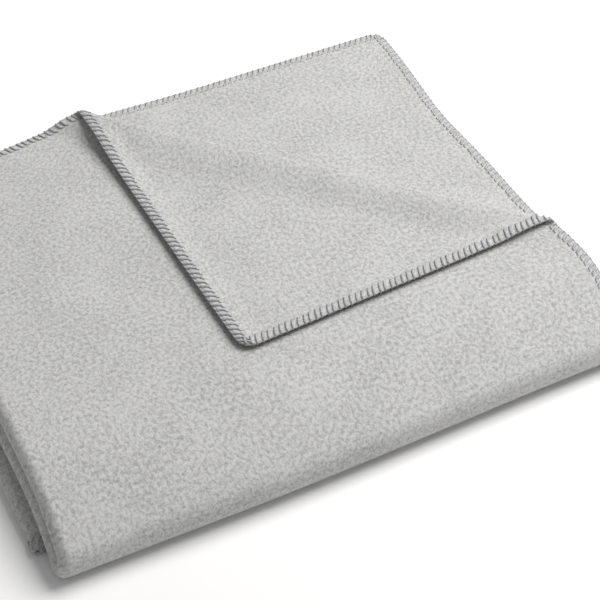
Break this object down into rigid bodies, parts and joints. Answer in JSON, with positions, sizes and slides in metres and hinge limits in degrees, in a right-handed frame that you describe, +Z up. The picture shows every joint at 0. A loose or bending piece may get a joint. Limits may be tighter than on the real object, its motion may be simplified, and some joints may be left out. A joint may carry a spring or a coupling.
{
  "type": "folded throw blanket",
  "caption": "Large felted throw folded into a flat rectangular stack, its cut edges overcast with yarn and one corner of the upper layer turned back as a flap.",
  "frame": {"origin": "bottom centre of the folded blanket's bounding box", "axes": "+X along the front fold, +Y from the front fold to the back fold, +Z up"},
  "size_m": [0.5, 0.436, 0.059],
  "materials": {
    "cloth": "brushed and felted wool blend, heathered light grey, matt",
    "edging_yarn": "mid to dark grey twisted yarn, overcast along the cut edges"
  },
  "bodies": {
    "bottom_leaf": {"bottom_ply_1": "cloth", "bottom_ply_2": "cloth", "bottom_ply_3": "cloth", "bottom_ply_4": "cloth", "bottom_left_outer_turn": "cloth", "bottom_left_inner_turn": "cloth", "bottom_right_turn": "cloth", "bottom_front_edging_1": "edging_yarn", "bottom_front_edging_2": "edging_yarn", "bottom_front_edging_3": "edging_yarn", "bottom_front_edging_4": "edging_yarn", "bottom_side_edging_1": "edging_yarn", "bottom_side_edging_2": "edging_yarn", "back_fold_1": "cloth", "back_fold_2": "cloth", "back_fold_3": "cloth", "back_fold_4": "cloth"},
    "middle_leaf": {"middle_ply_1": "cloth", "middle_ply_2": "cloth", "middle_ply_3": "cloth", "middle_ply_4": "cloth", "middle_left_outer_turn": "cloth", "middle_left_inner_turn": "cloth", "middle_right_turn": "cloth", "middle_side_edging_1": "edging_yarn", "middle_side_edging_2": "edging_yarn", "front_fold_1": "cloth", "front_fold_2": "cloth", "front_fold_3": "cloth", "front_fold_4": "cloth"},
    "top_leaf": {"top_ply_1": "cloth", "top_ply_2": "cloth", "top_ply_3": "cloth", "top_ply_4": "cloth", "top_left_outer_turn": "cloth", "top_left_inner_turn": "cloth", "top_right_turn": "cloth", "top_back_edging_1": "edging_yarn", "top_back_edging_2": "edging_yarn", "top_back_edging_3": "edging_yarn", "top_back_edging_4": "edging_yarn", "top_side_edging_1": "edging_yarn", "top_side_edging_2": "edging_yarn", "flap_roll": "cloth"},
    "corner_flap": {"corner_flap": "cloth", "flap_edging": "edging_yarn"}
  },
  "joints": [
    {"name": "back_fold", "type": "hinge", "parent": "bottom_leaf", "child": "middle_leaf", "pos_m": [0, 0.2025, 0.0155], "axis": [-1, 0, 0], "range_deg": [0, 90], "deforming": ["back_fold_1", "back_fold_2", "back_fold_3", "back_fold_4"]},
    {"name": "front_fold", "type": "hinge", "parent": "middle_leaf", "child": "top_leaf", "pos_m": [0, -0.2025, 0.0315], "axis": [1, 0, 0], "range_deg": [0, 180], "deforming": ["front_fold_1", "front_fold_2", "front_fold_3", "front_fold_4"]},
    {"name": "flap_fold", "type": "hinge", "parent": "top_leaf", "child": "corner_flap", "pos_m": [0.0925, 0.0605, 0.0475], "axis": [-0.7071, 0.7071, 0], "range_deg": [0, 180], "deforming": ["flap_roll"]}
  ]
}
